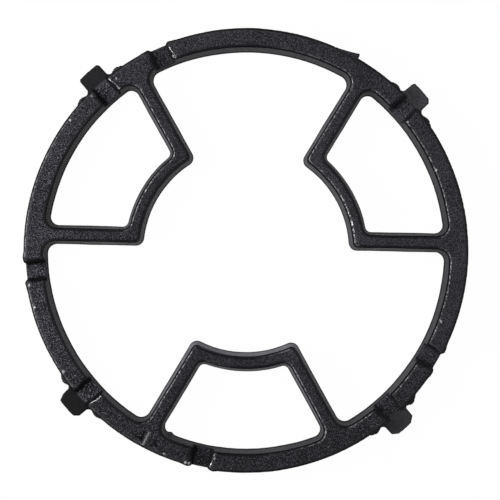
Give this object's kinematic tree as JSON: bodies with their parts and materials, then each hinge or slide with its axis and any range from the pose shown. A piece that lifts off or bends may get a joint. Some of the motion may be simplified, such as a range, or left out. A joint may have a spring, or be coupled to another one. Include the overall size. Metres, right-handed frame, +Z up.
{
  "type": "wok ring",
  "caption": "Cast iron wok ring: flat round band with notches for hob support fingers, short outer lugs and open trapezoid frames that reach inward.",
  "frame": {"origin": "centre of the round band, on its flat pan side, which lies on the ground plane", "axes": "+Z up through the notched hob side; +X and +Y are right and up in the picture; in use the ring is turned over"},
  "size_m": [0.24, 0.24, 0.015],
  "materials": {
    "cast_iron": "matt black, rough as cast on the flat faces and smoother on the side walls"
  },
  "bodies": {
    "root": {"wok_ring": "cast_iron"}
  },
  "joints": []
}
